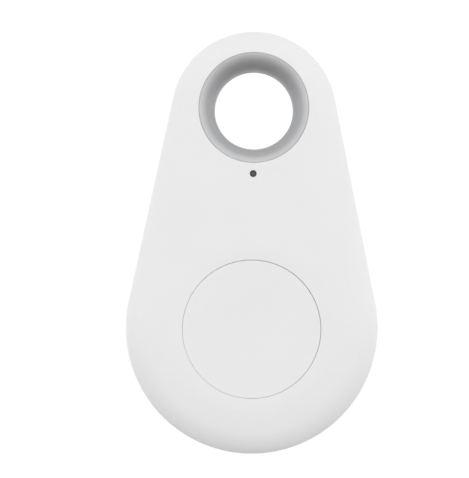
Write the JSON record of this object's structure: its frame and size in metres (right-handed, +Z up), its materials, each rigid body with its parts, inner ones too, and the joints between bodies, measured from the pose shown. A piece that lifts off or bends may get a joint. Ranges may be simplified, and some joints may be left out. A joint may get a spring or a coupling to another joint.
{
  "type": "bluetooth tracker tag",
  "caption": "Teardrop key-finder tag: two snap-fitted shells with a lined key-ring hole, a round push button and a coin-cell radio board inside.",
  "frame": {"origin": "centre of the key-ring hole, on the parting plane of the two shells", "axes": "+Z up towards the key-ring end, +Y from the button face to the back, +X to the right of someone facing the button"},
  "size_m": [0.031, 0.011, 0.0521],
  "materials": {
    "case_plastic": "satin moulded white",
    "liner_plastic": "satin moulded grey",
    "guide_resin": "smoky clear resin",
    "board_mask": "green solder mask over glass laminate",
    "gold_plate": "gold-plated copper",
    "chip_resin": "moulded resin with tinned legs",
    "crystal_lid": "nickel-plated lid",
    "led_resin": "clear resin on a white base",
    "capacitor_ceramic": "fired ceramic with tinned ends",
    "resistor_glaze": "glazed ceramic with tinned ends",
    "switch_resin": "moulded resin",
    "spring_steel": "stamped sheet",
    "soft_iron": "plated iron",
    "ferrite": "sintered magnet",
    "coil_wire": "enamelled copper wire",
    "cradle_resin": "moulded resin",
    "cell_steel": "nickel-plated steel",
    "gasket_plastic": "moulded seal",
    "pad_foam": "closed-cell foam"
  },
  "bodies": {
    "housing": {"front_shell": "case_plastic", "ring_liner": "liner_plastic", "light_guide": "guide_resin", "circuit_board": "board_mask", "antenna_trace": "gold_plate", "test_pads": "gold_plate", "bluetooth_chip": "chip_resin", "main_crystal": "crystal_lid", "clock_crystal": "crystal_lid", "status_led": "led_resin", "chip_capacitors": "capacitor_ceramic", "chip_resistors": "resistor_glaze", "driver_transistor": "chip_resin", "clamp_diode": "chip_resin", "switch_base": "switch_resin", "switch_cover": "spring_steel", "sounder_case": "switch_resin", "sounder_core": "soft_iron", "sounder_coil": "coil_wire", "sounder_magnet": "ferrite", "sounder_diaphragm": "soft_iron", "cell_cradle": "cradle_resin", "positive_contacts": "spring_steel", "negative_contact": "spring_steel"},
    "button": {"button_cap": "case_plastic"},
    "plunger": {"switch_plunger": "switch_resin", "switch_dome": "spring_steel"},
    "cover": {"rear_shell": "case_plastic", "cell_pad": "pad_foam"},
    "cell": {"cell_can": "cell_steel", "cell_cap": "cell_steel", "cell_gasket": "gasket_plastic"}
  },
  "joints": [
    {"name": "button_press", "type": "slide", "parent": "housing", "child": "button", "axis": [0, 1, 0], "range_m": [0, 0.0003], "stiffness_N_per_m": 5000},
    {"name": "plunger_press", "type": "slide", "parent": "housing", "child": "plunger", "axis": [0, 1, 0], "range_m": [0, 0.00027]},
    {"name": "cover_pull", "type": "slide", "parent": "housing", "child": "cover", "axis": [0, 1, 0], "range_m": [0, 0.016]},
    {"name": "cell_lift", "type": "slide", "parent": "housing", "child": "cell", "axis": [0, 1, 0], "range_m": [0, 0.008]}
  ],
  "couplings": [
    {"joint": "plunger_press", "follows": "button_press", "ratio": 0.9},
    {"joint": "cell_lift", "follows": "cover_pull", "ratio": 0.5}
  ]
}
